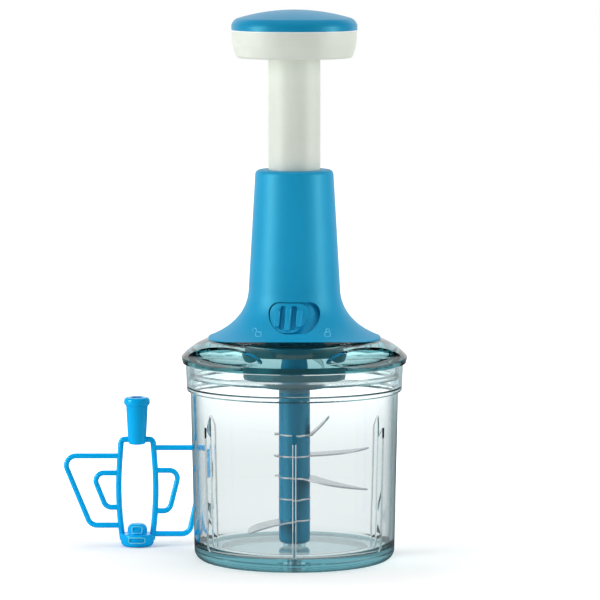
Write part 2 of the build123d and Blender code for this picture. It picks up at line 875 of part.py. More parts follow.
with BuildPart() as plunger_tube:
    tube(tube_z, tube_end_z, tube_r)
    tube(stop_z, bumper_z, stop_r)
    tube(lug_flange_z, lug_flange_z + lug_flange, lug_flange_r)
    with BuildSketch(Plane.XY.offset(stop_z)):
        with PolarLocations(key_r / 2, 2):
            Rectangle(key_r, key_width)
    extrude(amount=stop_height)
    with BuildSketch(Plane.XY.offset(lug_flange_z)):
        with PolarLocations(lug_r - lug_proud / 2, lug_count, start_angle=lug_start):
            Rectangle(lug_proud, 2 * lug_r * sin(radians(lug_angle / 2)))
    extrude(amount=lug_flange)
    tube(tube_z, nut_top_z, tube_skirt_bore_r, mode=Mode.SUBTRACT)
    tube(nut_top_z, end_wall_z, tube_bore_r, mode=Mode.SUBTRACT)
    with BuildSketch(Plane.XY.offset(tube_z)):
        Rectangle(nut_key_width + 2 * slide_gap, 2 * (nut_key_r + seat_gap))
    extrude(amount=nut_top_z - tube_z, mode=Mode.SUBTRACT)
    rounds(pillar_z, end_wall_z, pillar_r, pillar_circle_r, screw_count, pillar_start)
    rounds(
        socket_top_z - pillar_bore_depth, socket_top_z, screw_shank_r + running,
        pillar_circle_r, screw_count, pillar_start, mode=Mode.SUBTRACT,
    )
save(plunger_tube, "plunger_tube")

with BuildPart() as stop_bumper:
    tube(bumper_z, bumper_z + bumper, stop_r - slide_gap, tube_r + seat_gap)
save(stop_bumper, "stop_bumper")

nut_slot = twisted_strip(
    nut_z - washer, nut_top_z + washer, strip_width + 2 * strip_clearance, strip_thickness + 2 * strip_clearance
)
with BuildPart() as drive_nut:
    tube(nut_z, nut_top_z, tube_skirt_bore_r - slide_gap)
    with BuildSketch(Plane.XY.offset(nut_z)):
        Rectangle(nut_key_width, 2 * nut_key_r)
    extrude(amount=nut_height)
    add(nut_slot, mode=Mode.SUBTRACT)
save(drive_nut, "drive_nut")

with BuildPart() as knob_body:
    with BuildSketch(Plane.XZ):
        with BuildLine():
            FilletPolyline(
                (bore_r, knob_z),
                (knob_floor_r + knob_foot_out, knob_z),
                (knob_r - knob_draft, knob_z + knob_belly_z),
                (knob_r, knob_seam_z),
                (knob_r - knob_wall, knob_seam_z),
                (knob_r - knob_wall - knob_draft, knob_z + knob_belly_z),
                (knob_floor_r, knob_z + knob_web),
                (bore_r + knob_wall, knob_z + knob_web),
                (bore_r + knob_wall, socket_top_z + knob_web),
                (0, socket_top_z + knob_web),
                (0, socket_top_z),
                (bore_r, socket_top_z),
                radius=[
                    0, knob_foot_round, knob_belly_round, crisp_edge, 0,
                    knob_foot_round, crisp_edge, 0, 0, 0, 0, 0,
                ],
                close=True,
            )
        make_face()
    revolve(axis=Axis.Z)
    rounds(
        socket_top_z, socket_top_z + knob_web, screw_shank_r + screw_room,
        pillar_circle_r, screw_count, pillar_start, mode=Mode.SUBTRACT,
    )
save(knob_body, "knob_body")

knob_screws = screws(
    socket_top_z + knob_web + screw_head, socket_top_z + knob_web, socket_top_z - tower_screw_bite,
    pillar_circle_r, pillar_start,
)
save(knob_screws, "knob_screws")

cap_r = knob_r - knob_wall - slide_gap
cap_plug_r = cap_r - cap_plug_wall
cap_top_z = knob_seam_z + cap_rise
cap_shoulder_z = knob_seam_z + cap_shoulder_rise
dome_fall = cap_top_z - cap_shoulder_z
dome_r = (cap_shoulder_r**2 + dome_fall**2) / (2 * dome_fall)


def on_dome(out, inset):
    """A point of the cap's spherical top, at a distance from the axis and under the skin."""
    return (out, cap_top_z - dome_r + sqrt((dome_r - inset) ** 2 - out**2))


with BuildPart() as knob_cap:
    with BuildSketch(Plane.XZ):
        with BuildLine():
            side_top = (knob_r + seat_gap, knob_seam_z + cap_side)
            Line((knob_r, knob_seam_z), side_top)
            side_mid = (knob_r - cap_corner_in, knob_seam_z + cap_side + cap_corner_rise)
            ThreePointArc(side_top, side_mid, on_dome(cap_shoulder_r, 0))
            ThreePointArc(on_dome(cap_shoulder_r, 0), on_dome(cap_shoulder_r / 2, 0), on_dome(0, 0))
            Line(on_dome(0, 0), on_dome(0, knob_wall))
            ThreePointArc(
                on_dome(0, knob_wall),
                on_dome(cap_plug_r / 2, knob_wall),
                on_dome(cap_plug_r, knob_wall),
            )
            Polyline(
                on_dome(cap_plug_r, knob_wall),
                (cap_plug_r, knob_seam_z - cap_plug),
                (cap_r - cap_plug_taper, knob_seam_z - cap_plug),
                (cap_r, knob_seam_z),
                (knob_r, knob_seam_z),
            )
        make_face()
    revolve(axis=Axis.Z)
save(knob_cap, "knob_cap")

# ------------------------------------------------------ spindle, spring and the clutch

drive_strip = twisted_strip(strip_z, strip_top_z, strip_width, strip_thickness)
with BuildPart() as drive_spindle:
    hex_prism(star_z, cover_top_z, spindle_hex)
    tube(cover_top_z, spindle_flange_z, spindle_journal_r)
    tube(spindle_flange_z, strip_z, spindle_flange_r)
    add(drive_strip)
    tube(star_z, star_z + spindle_screw_length + free_gap, spindle_screw_r + running, mode=Mode.SUBTRACT)
save(drive_spindle, "drive_spindle")

spring_low = plate_top_z + spring_wire / 2
spring_high = nut_z - spring_wire / 2
with BuildPart() as return_spring:
    with BuildLine():
        coil = Helix(
            pitch=(spring_high - spring_low) / spring_turns,
            height=spring_high - spring_low,
            radius=spring_mean_r,
            center=(0, 0, spring_low),
        )
    with BuildSketch(Plane(origin=coil @ 0, z_dir=coil % 0)):
        Circle(spring_wire / 2 - running)
    sweep(is_frenet=True)
save(return_spring, "return_spring")

star_r = clutch_bore_r - 2 * free_gap
pocket_width = 3.2 * roller_r
pocket_start = 30
roller_z = star_z + star_base + slide_gap
roller_circle_r = clutch_bore_r - free_gap - roller_r
pocket_floor_r = roller_circle_r - roller_r - running
with BuildPart() as clutch_star:
    tube(star_z, star_z + star_base, star_r - end_play)
    tube(star_z + star_base, star_top_z, star_r)
    with BuildSketch(Plane.XY.offset(star_z + star_base)):
        with PolarLocations((pocket_floor_r + clutch_bore_r) / 2, roller_count, start_angle=pocket_start):
            Rectangle(clutch_bore_r - pocket_floor_r, pocket_width)
    extrude(amount=star_top_z - star_z - star_base, mode=Mode.SUBTRACT)
    hex_prism(star_z, star_top_z, spindle_hex + 2 * running, mode=Mode.SUBTRACT)
save(clutch_star, "clutch_star")

with BuildPart() as clutch_rollers:
    rounds(roller_z, roller_z + roller_length, roller_r, roller_circle_r, roller_count, pocket_start)
save(clutch_rollers, "clutch_rollers")

with BuildPart() as clutch_cover:
    tube(star_top_z, cover_top_z, star_r)
    hex_prism(star_top_z, cover_top_z, spindle_hex + 2 * running, mode=Mode.SUBTRACT)
save(clutch_cover, "clutch_cover")

with BuildPart() as spindle_screw:
    tube(star_z - spindle_screw_head, star_z, spindle_screw_head_r)
    tube(star_z, star_z + spindle_screw_length, spindle_screw_r)
save(spindle_screw, "spindle_screw")

# ------------------------------------------------- clutch output and the blade shaft

with BuildPart() as clutch_ring:
    hex_prism(coupling_z, coupling_top_z, output_hex)
    tube(coupling_top_z, ring_floor_z, output_journal_r)
    tube(ring_floor_z, cover_top_z - 2 * seat_gap, clutch_bore_r + clutch_wall)
    tube(clutch_inside_z, cover_top_z, clutch_bore_r, mode=Mode.SUBTRACT)
    hex_prism(coupling_z, ring_floor_z - end_play, core_hex + 2 * slide_gap, mode=Mode.SUBTRACT)
save(clutch_ring, "clutch_ring")

with BuildPart() as drive_coupling:
    tube(coupling_z, coupling_top_z, coupling_r)
    fillet(drive_coupling.edges().sort_by(Axis.Z)[0], coupling_round)
    hex_prism(coupling_z, coupling_top_z, output_hex + 2 * running, mode=Mode.SUBTRACT)
save(drive_coupling, "drive_coupling")

core_z = foot_z + core_rod_seat
with BuildPart() as core_rod:
    hex_prism(core_z, ring_floor_z - 2 * end_play, core_hex)
    chamfer(core_rod.faces().sort_by(Axis.Z)[-1].edges(), crisp_edge)
save(core_rod, "core_rod")

hex_clear = core_hex + 2 * running
half_blade = blade_thickness / 2
with BuildPart() as shaft_head:
    tube(tier_levels[0] + half_blade, coupling_z, shaft_r)
    hex_prism(tier_levels[0], coupling_z, hex_clear, mode=Mode.SUBTRACT)
save(shaft_head, "shaft_head")

for tier in range(tier_count - 1):
    with BuildPart() as spacer:
        tube(tier_levels[tier + 1] + half_blade, tier_levels[tier] - half_blade, shaft_r)
        hex_prism(tier_levels[tier + 1], tier_levels[tier], hex_clear, mode=Mode.SUBTRACT)
    save(spacer, f"shaft_spacer_{tier + 1}")

foot_bush_top_z = core_z - end_play
foot_bush_r = pin_r + 2 * running + foot_bush_wall
with BuildPart() as shaft_foot:
    tube(foot_z, tier_levels[-1] - half_blade, shaft_r)
    fillet(shaft_foot.edges().sort_by(Axis.Z)[0], foot_fillet)
    hex_prism(core_z - 2 * seat_gap, tier_levels[-1], hex_clear, mode=Mode.SUBTRACT)
    tube(foot_z, foot_bush_top_z, foot_bush_r, mode=Mode.SUBTRACT)
save(shaft_foot, "shaft_foot")

with BuildPart() as foot_bush:
    tube(foot_z, foot_bush_top_z, foot_bush_r - running, pin_r + 2 * running)
save(foot_bush, "foot_bush")

# Each blade: the way it points, how far it is bent up from level, and its sweep radius
blade_plan = [
    (0.0, 45.0, top_blade_sweep_r),
    (19.0, 3.0, blade_sweep_r),
    (-30.0, -7.0, blade_sweep_r),
    (95.0, 4.0, blade_sweep_r),
    (-125.0, -4.0, blade_sweep_r),
]


def make_blade(level, heading, bend, sweep_r):
    """A flat eye on the core rod with one sickle-shaped arm, bent at its root."""
    out = (cos(radians(heading)), sin(radians(heading)), 0)
    eye_plane = Plane(origin=(0, 0, level), x_dir=out, z_dir=(0, 0, 1))
    rise = radians(bend)
    arm_out = (out[0] * cos(rise), out[1] * cos(rise), sin(rise))
    arm_up = (-out[0] * sin(rise), -out[1] * sin(rise), cos(rise))
    bend_point = (out[0] * blade_bend_r, out[1] * blade_bend_r, level)
    arm_plane = Plane(origin=bend_point, x_dir=arm_out, z_dir=arm_up)
    length = sweep_r - blade_bend_r
    half_root = blade_root_width / 2
    with BuildPart() as made:
        with BuildSketch(eye_plane):
            Circle(eye_r)
            with Locations((blade_bend_r / 2, 0)):
                Rectangle(blade_bend_r, blade_root_width)
            with Locations((-blade_tail_r / 2, 0)):
                Rectangle(blade_tail_r, blade_tail_width)
            RegularPolygon(hex_clear / 2, 6, major_radius=False, rotation=-heading, mode=Mode.SUBTRACT)
        extrude(amount=half_blade, both=True)
        with BuildSketch(arm_plane):
            with BuildLine():
                root = [(-blade_lap, half_root), (-blade_lap, -half_root)]
                tip = (length, half_root * blade_tip)
                Line(*root)
                ThreePointArc(root[1], (length * blade_belly[0], half_root * blade_belly[1]), tip)
                ThreePointArc(tip, (length * blade_back[0], half_root * blade_back[1]), root[0])
            make_face()
        extrude(amount=half_blade, both=True)
    return made


for tier in range(tier_count):
    heading, bend, sweep_r = blade_plan[tier]
    save(make_blade(tier_levels[tier], heading, bend, sweep_r), f"blade_{tier + 1}")

# --------------------------------------------------------------------- mixing paddle

paddle_plane = Plane(origin=(paddle_x, paddle_y, 0), x_dir=(1, 0, 0), z_dir=(0, -1, 0))
paddle_axis = Axis((paddle_x, paddle_y, 0), (0, 0, 1))
# Each loop: side, top level, bottom level, and where its slanted bar meets them
paddle_loops = [
    (-1, 57.5, 13.2, 47.8, 29.6, 6.0),
    (-1, 46.6, 24.7, 28.6, 19.8, 5.0),
    (1, 62.8, 7.7, 45.0, 32.9, 6.0),
    (1, 48.3, 22.4, 26.9, 20.3, 5.0),
]


def bar_along(path, thickness):
    """A round bar along a path, for use inside a BuildPart block."""
    with BuildSketch(Plane(origin=path @ 0, z_dir=path % 0)) as section:
        Circle(thickness / 2)
    sweep(section.sketch, path=path)


def foot_form(grow):
    """The paddle's hub with its dome, grown by a distance."""
    with BuildPart() as form:
        with BuildSketch(paddle_plane):
            with BuildLine():
                FilletPolyline(
                    (0, 0),
                    (paddle_hub_r - paddle_hub_lean + grow, 0),
                    (paddle_hub_r + grow, paddle_hub),
                    (paddle_dome_r + grow, paddle_hub),
                    (paddle_dome_r + grow, paddle_dome_z + grow),
                    (0, paddle_dome_z + grow),
                    radius=[0, paddle_hub_round, pin_nose, crisp_edge, paddle_dome_round, 0],
                    close=True,
                )
            make_face()
        revolve(axis=paddle_axis)
    return form.part


def window_outline(size, level, corner):
    """A raised window rim's outline, for use inside a BuildSketch block."""
    with Locations((0, level)):
        RectangleRounded(*size, corner)
        RectangleRounded(
            size[0] - 2 * window_rim, size[1] - 2 * window_rim, corner - window_rim, mode=Mode.SUBTRACT,
        )


with BuildPart() as paddle_frame:
    with BuildLine(paddle_plane) as hoop:
        FilletPolyline(
            (-frame_foot_half_width, paddle_hub / 2),
            (-frame_waist_half_width, frame_waist_z),
            (-frame_half_width, frame_top_z),
            (frame_half_width, frame_top_z),
            (frame_waist_half_width, frame_waist_z),
            (frame_foot_half_width, paddle_hub / 2),
            radius=[frame_bow, frame_corner, frame_corner, frame_bow],
        )
    bar_along(hoop.wire(), bar)
    for side, high, low, high_x, low_x, corner in paddle_loops:
        with BuildLine(paddle_plane) as loop:
            FilletPolyline(
                (side * loop_root, high),
                (side * high_x, high),
                (side * low_x, low),
                (side * loop_root, low),
                radius=corner,
            )
        bar_along(loop.wire(), loop_bar)

with BuildPart() as paddle_windows:
    with BuildSketch(paddle_plane):
        window_outline(hub_window, hub_window_z, hub_window_corner)
        window_outline(dome_window, dome_window_z, dome_window_corner)
    extrude(amount=paddle_hub_r + soft_edge)
    add(foot_form(window_proud), mode=Mode.INTERSECT)

with BuildPart() as mixing_paddle:
    add(paddle_frame.part)
    add(foot_form(0))
    add(paddle_windows.part)
    with BuildSketch(paddle_plane):
        with BuildLine():
            FilletPolyline(
                (0, paddle_height),
                (socket_lip_r, paddle_height),
                (socket_lip_r, paddle_height - socket_lip),
                (socket_r, paddle_height - socket_lip - soft_edge),
                (socket_neck_r, paddle_height - socket_length),
                (0, paddle_height - socket_length),
                radius=[0, socket_lip_round, socket_lip_round, soft_edge / 2, socket_lip_round, 0],
                close=True,
            )
        make_face()
    revolve(axis=paddle_axis)
    with BuildSketch(Plane(origin=(paddle_x, paddle_y, paddle_height - socket_depth))):
        RegularPolygon(core_hex / 2 + slide_gap, 6, major_radius=False)
    extrude(amount=socket_depth, mode=Mode.SUBTRACT)
    with BuildSketch(Plane(origin=(paddle_x, paddle_y, 0))):
        Circle(pin_r + paddle_pin_gap)
    extrude(amount=paddle_pin_depth, mode=Mode.SUBTRACT)
save(mixing_paddle, "mixing_paddle")
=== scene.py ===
"""Looks of the plunger food chopper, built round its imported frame. Metres, +Z up, front at -Y."""
import bpy
import math
import numpy as np
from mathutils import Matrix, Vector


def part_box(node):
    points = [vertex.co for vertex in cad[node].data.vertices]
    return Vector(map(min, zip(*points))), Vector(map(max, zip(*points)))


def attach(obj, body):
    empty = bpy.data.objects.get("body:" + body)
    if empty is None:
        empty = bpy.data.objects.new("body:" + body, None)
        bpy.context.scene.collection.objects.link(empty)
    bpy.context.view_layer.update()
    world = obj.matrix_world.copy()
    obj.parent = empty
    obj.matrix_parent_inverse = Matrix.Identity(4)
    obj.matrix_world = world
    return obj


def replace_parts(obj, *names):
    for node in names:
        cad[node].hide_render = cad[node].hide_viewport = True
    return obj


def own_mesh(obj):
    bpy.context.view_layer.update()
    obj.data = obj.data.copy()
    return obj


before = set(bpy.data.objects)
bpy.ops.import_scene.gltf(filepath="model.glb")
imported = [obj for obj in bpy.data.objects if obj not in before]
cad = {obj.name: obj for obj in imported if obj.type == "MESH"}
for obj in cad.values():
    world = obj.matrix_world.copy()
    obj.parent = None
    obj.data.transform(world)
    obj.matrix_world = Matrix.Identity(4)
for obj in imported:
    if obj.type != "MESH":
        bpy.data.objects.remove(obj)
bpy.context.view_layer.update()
scene = bpy.context.scene
scene.view_settings.view_transform = "Standard"

# ---------------------------------------------------------------- camera
# A long lens stands 2.6 m away, a little higher than the knob, and looks slightly down, so that
# round edges open into narrow ovals and the upright sides stay parallel.
camera_place = (0.003472, -2.600, 0.421)
camera_pitch = 5.697
camera_lens = 253.07
camera_reach = 20.0
camera_data = bpy.data.cameras.new("camera")
camera_data.lens = camera_lens
camera_data.sensor_width = 36.0
camera_data.clip_end = camera_reach
camera = bpy.data.objects.new("camera", camera_data)
camera.location = camera_place
camera.rotation_euler = (math.radians(90.0 - camera_pitch), 0.0, 0.0)
scene.collection.objects.link(camera)
scene.camera = camera

# ---------------------------------------------------------------- floor, room and lamps
# A round pale sheet lies flat under the chopper, in a white room without walls, so that it can be
# looked at from all sides. Large soft lamps stand at both sides and overhead.
floor_radius = 3.6
floor_rings = floor_radius * np.array([0.05, 0.4, 1.0])
floor_corners = 96
white = (1.0, 1.0, 1.0, 1.0)
paper_tone = 0.95
gloss_tone = 0.15
lift_start, lift_end = 0.08, 0.42
near_lift = 0.16
behind_start, behind_end = 0.4, 1.4
through_lift = 0.85
bounced_share = 0.55
object_middle = (0.0, 0.0, 0.17)


def new_tree(name):
    """A material's node tree with its output node, empty otherwise."""
    material = bpy.data.materials.new(name)
    material.use_nodes = True
    tree = material.node_tree
    tree.nodes.clear()
    output = tree.nodes.new("ShaderNodeOutputMaterial")
    return material, tree, output


def add_node(tree, kind, **settings):
    """A node of that kind; settings name its properties."""
    node = tree.nodes.new("ShaderNode" + kind)
    for key, value in settings.items():
        setattr(node, key, value)
    return node


def ring_faces(rings, corners, closed):
    """Quads between rings of points that are numbered ring by ring.

    Each quad joins point (r, c) to (r, c + 1), (r + 1, c + 1) and (r + 1, c). After a ring's last
    point comes its first, and if closed, after the last ring comes the first.
    """
    r, c = np.meshgrid(np.arange(rings if closed else rings - 1), np.arange(corners), indexing="ij")
    here, there = r * corners, (r + 1) % rings * corners
    after = (c + 1) % corners
    return np.stack([here + c, here + after, there + after, there + c], -1).reshape(-1, 4)


def make_piece(name, points, faces, material):
    """A smooth mesh object from points (n, 3) and a list of faces; its place is in its mesh."""
    mesh = bpy.data.meshes.new(name)
    mesh.from_pydata(points.tolist(), [], faces)
    mesh.materials.append(material)
    mesh.polygons.foreach_set("use_smooth", np.full(len(mesh.polygons), True))
    mesh.update()
    piece = bpy.data.objects.new(name, mesh)
    scene.collection.objects.link(piece)
    return piece


def product(tree, *factors):
    """The product of those sockets and numbers."""
    result = factors[0]
    for factor in factors[1:]:
        node = add_node(tree, "Math", operation="MULTIPLY")
        tree.links.new(result, node.inputs[0])
        if isinstance(factor, float):
            node.inputs[1].default_value = factor
        else:
            tree.links.new(factor, node.inputs[1])
        result = node.outputs[0]
    return result


def total(tree, *parts):
    """The sum of those sockets."""
    result = parts[0]
    for part in parts[1:]:
        node = add_node(tree, "Math", operation="ADD")
        tree.links.new(result, node.inputs[0])
        tree.links.new(part, node.inputs[1])
        result = node.outputs[0]
    return result


def ramp(tree, value, start, end, low, high):
    """A value that goes smoothly from low to high, as the input goes from start to end."""
    node = add_node(tree, "MapRange", interpolation_type="SMOOTHSTEP")
    node.inputs["From Min"].default_value = start
    node.inputs["From Max"].default_value = end
    node.inputs["To Min"].default_value = low
    node.inputs["To Max"].default_value = high
    tree.links.new(value, node.inputs["Value"])
    return node.outputs["Result"]


def never(tree, depth):
    """1 where a ray has met none of the bounces that the depth counts, otherwise 0."""
    node = add_node(tree, "Math", operation="LESS_THAN")
    node.inputs[1].default_value = 0.5
    tree.links.new(depth, node.inputs[0])
    return node.outputs[0]


def paper_look(tree):
    """Matt paper with a glow that lights nothing matt.

    The camera sees the paper lifted, a little beside the object and to full white away from it,
    with the shadow kept. See-through rays see it nearly white, and only bounced_share of that
    once a clear wall has mirrored them. Gloss sees it dim in front, so that clear walls aren't
    veiled, and white behind.
    """
    path = add_node(tree, "LightPath")
    place = add_node(tree, "TexCoord")
    distance = add_node(tree, "VectorMath", operation="LENGTH")
    axes = add_node(tree, "SeparateXYZ")
    tree.links.new(place.outputs["Object"], distance.inputs[0])
    tree.links.new(place.outputs["Object"], axes.inputs[0])
    unscattered = never(tree, path.outputs["Diffuse Depth"])
    lift = ramp(tree, distance.outputs["Value"], lift_start, lift_end, near_lift, 1.0)
    seen = product(tree, path.outputs["Is Camera Ray"], lift)
    clean = ramp(tree, path.outputs["Glossy Depth"], 0.0, 1.0, 1.0, bounced_share)
    through = path.outputs["Is Transmission Ray"]
    seen_through = product(tree, through, unscattered, clean, through_lift)
    behind = ramp(tree, axes.outputs["Y"], behind_start, behind_end, 0.0, 1.0)
    mirrored = product(tree, path.outputs["Is Glossy Ray"], unscattered, behind)
    glow = add_node(tree, "Emission")
    tree.links.new(total(tree, seen, seen_through, mirrored), glow.inputs["Strength"])
    dim = add_node(tree, "MixRGB")
    dim.inputs["Color1"].default_value = (paper_tone, paper_tone, paper_tone, 1.0)
    dim.inputs["Color2"].default_value = (gloss_tone, gloss_tone, gloss_tone, 1.0)
    dimmed = total(tree, path.outputs["Is Glossy Ray"], through)
    tree.links.new(dimmed, dim.inputs["Fac"])
    matt = add_node(tree, "BsdfDiffuse")
    tree.links.new(dim.outputs["Color"], matt.inputs["Color"])
    both = add_node(tree, "AddShader")
    tree.links.new(matt.outputs[0], both.inputs[0])
    tree.links.new(glow.outputs[0], both.inputs[1])
    return both.outputs[0]


def make_floor():
    """The sheet: rings of points round the middle, radius * (cos a, sin a), closed by one point."""
    turn = np.linspace(0.0, 2 * math.pi, floor_corners, endpoint=False)
    ring = np.stack([np.cos(turn), np.sin(turn), np.zeros(floor_corners)], -1)
    points = (floor_rings[:, None, None] * ring).reshape(-1, 3)
    faces = ring_faces(len(floor_rings), floor_corners, closed=False)[:, ::-1].tolist()
    corner = np.arange(floor_corners)
    middle_point = np.full(floor_corners, len(points))
    faces += np.stack([corner, (corner + 1) % floor_corners, middle_point], -1).tolist()
    material, tree, output = new_tree("paper_floor")
    tree.links.new(paper_look(tree), output.inputs["Surface"])
    return make_piece("floor", np.concatenate([points, np.zeros((1, 3))]), faces, material)


def add_lamp(name, place, width, height, power):
    """A soft rectangular lamp that faces the object's middle and isn't itself seen."""
    data = bpy.data.lights.new(name, "AREA")
    data.shape = "RECTANGLE"
    data.size, data.size_y, data.energy = width, height, power
    lamp = bpy.data.objects.new(name, data)
    lamp.location = place
    direction = Vector(object_middle) - Vector(place)
    lamp.rotation_euler = direction.to_track_quat("-Z", "Y").to_euler()
    lamp.visible_camera = False
    lamp.visible_transmission = False
    scene.collection.objects.link(lamp)
    return lamp


make_floor()
add_lamp("left_lamp", (-1.20, -0.42, 0.42), width=0.45, height=1.1, power=12.0)
add_lamp("right_lamp", (1.25, -0.40, 0.42), width=0.40, height=1.1, power=9.5)
top_lamp = add_lamp("top_lamp", (0.0, 0.10, 1.4), width=1.2, height=0.9, power=7.0)
top_lamp.visible_glossy = False     # its mirror image would hide the shape of the cap's dome

# The room is white where the camera looks or sees through. Its light on matt pieces is stronger
# from behind than from in front, and gloss sees it dark but for a bright part behind.
matt_start, matt_end = -0.9, 0.3
matt_front, matt_back = 0.176, 0.36
gloss_start, gloss_end = 0.4, 0.9
gloss_front, gloss_back = 0.03, 1.0
world = bpy.data.worlds.new("studio")
scene.world = world
world.use_nodes = True
room = world.node_tree
room.nodes.clear()
room_path = add_node(room, "LightPath")
room_place = add_node(room, "TexCoord")
room_axes = add_node(room, "SeparateXYZ")
room.links.new(room_place.outputs["Generated"], room_axes.inputs[0])
room_clean = ramp(room, room_path.outputs["Glossy Depth"], 0.0, 1.0, 1.0, bounced_share)
room_through = room_path.outputs["Is Transmission Ray"]
room_seen = total(room, room_path.outputs["Is Camera Ray"], room_through)
room_white = product(room, room_seen, never(room, room_path.outputs["Diffuse Depth"]), room_clean)
room_matt = ramp(room, room_axes.outputs["Y"], matt_start, matt_end, matt_front, matt_back)
room_gloss = ramp(room, room_axes.outputs["Y"], gloss_start, gloss_end, gloss_front, gloss_back)
room_strength = add_node(room, "Mix")
room_final = add_node(room, "Mix")
room_final.inputs["B"].default_value = 1.0
room.links.new(room_path.outputs["Is Glossy Ray"], room_strength.inputs["Factor"])
room.links.new(room_matt, room_strength.inputs["A"])
room.links.new(room_gloss, room_strength.inputs["B"])
room.links.new(room_white, room_final.inputs["Factor"])
room.links.new(room_strength.outputs["Result"], room_final.inputs["A"])
room_light = add_node(room, "Background")
room_light.inputs["Color"].default_value = white
room.links.new(room_final.outputs["Result"], room_light.inputs["Strength"])
room_output = add_node(room, "OutputWorld")
room.links.new(room_light.outputs[0], room_output.inputs["Surface"])

# Light is mirrored many times inside the thick clear walls before it leaves them. With fewer
# bounces the lid's finger scoops go black.
clear_bounces = 24
scene.cycles.max_bounces = clear_bounces
scene.cycles.transmission_bounces = clear_bounces
scene.cycles.glossy_bounces = clear_bounces

# ---------------------------------------------------------------- bowl
# A thick clear moulding with a faint blue-green tint, polished in the mould. Its six inner ribs
# stop food from turning with the blades, and the collar above takes the lid's skirt.


def make_group(name, inputs, outputs):
    """A shader node group with those sockets: names, kinds and starting values."""
    group = bpy.data.node_groups.new(name, "ShaderNodeTree")
    for label, kind, value in inputs:
        socket = group.interface.new_socket(label, in_out="INPUT", socket_type="NodeSocket" + kind)
        socket.default_value = value
    for label, kind in outputs:
        group.interface.new_socket(label, in_out="OUTPUT", socket_type="NodeSocket" + kind)
    return group, group.nodes.new("NodeGroupInput"), group.nodes.new("NodeGroupOutput")


def handling_group():
    """Surface life of a clean used kitchen tool.

    Color = colour * (1 - tone to 1 + tone), by a soft noise some centimetres wide. Roughness =
    roughness + smudge * a warped noise three times as fine. Normal is bent by a fine noise,
    the grain of the surface, whose height is Grain Depth.
    """
    group, source, sink = make_group(
        "handling",
        [("Color", "Color", white), ("Tone", "Float", 0.05), ("Roughness", "Float", 0.3),
         ("Smudge", "Float", 0.08), ("Patch Scale", "Float", 25.0),
         ("Grain Scale", "Float", 2200.0), ("Grain Depth", "Float", 0.00001)],
        [("Color", "Color"), ("Roughness", "Float"), ("Normal", "Vector")],
    )
    place = add_node(group, "TexCoord")
    patch = add_node(group, "TexNoise")
    patch.inputs["Detail"].default_value = 3.0
    smear = add_node(group, "TexNoise")
    smear.inputs["Detail"].default_value = 5.0
    smear.inputs["Distortion"].default_value = 0.6
    wide = add_node(group, "Math", operation="MULTIPLY")
    wide.inputs[1].default_value = 3.0
    tone = add_node(group, "MapRange")
    tone.inputs["From Min"].default_value = 0.3
    tone.inputs["From Max"].default_value = 0.7
    low = add_node(group, "Math", operation="SUBTRACT")
    low.inputs[0].default_value = 1.0
    high = add_node(group, "Math", operation="ADD")
    high.inputs[0].default_value = 1.0
    tint = add_node(group, "VectorMath", operation="SCALE")
    rough = add_node(group, "Math", operation="MULTIPLY_ADD")
    grain = add_node(group, "TexNoise")
    grain.inputs["Detail"].default_value = 2.0
    bump = add_node(group, "Bump")
    bump.inputs["Strength"].default_value = 1.0
    link = group.links.new
    for texture in (patch, smear, grain):
        link(place.outputs["Object"], texture.inputs["Vector"])
    link(source.outputs["Patch Scale"], patch.inputs["Scale"])
    link(source.outputs["Patch Scale"], wide.inputs[0])
    link(wide.outputs[0], smear.inputs["Scale"])
    link(source.outputs["Tone"], low.inputs[1])
    link(source.outputs["Tone"], high.inputs[1])
    link(patch.outputs["Fac"], tone.inputs["Value"])
    link(low.outputs[0], tone.inputs["To Min"])
    link(high.outputs[0], tone.inputs["To Max"])
    link(source.outputs["Color"], tint.inputs[0])
    link(tone.outputs["Result"], tint.inputs["Scale"])
    link(tint.outputs["Vector"], sink.inputs["Color"])
    link(smear.outputs["Fac"], rough.inputs[0])
    link(source.outputs["Smudge"], rough.inputs[1])
    link(source.outputs["Roughness"], rough.inputs[2])
    link(rough.outputs[0], sink.inputs["Roughness"])
    link(source.outputs["Grain Scale"], grain.inputs["Scale"])
    link(grain.outputs["Fac"], bump.inputs["Height"])
    link(source.outputs["Grain Depth"], bump.inputs["Distance"])
    link(bump.outputs["Normal"], sink.inputs["Normal"])
    return group


handling = handling_group()
slant_start, slant_end = 0.52, 0.93
# Painted shade: clear walls go over to this teal where their outside is seen at a slant.
painted_edge_teal = (0.05, 0.25, 0.31, 1.0)
bowl_surface = (0.985, 1.0, 1.0, 1.0)
bowl_depth = (0.50, 0.76, 0.80, 1.0)


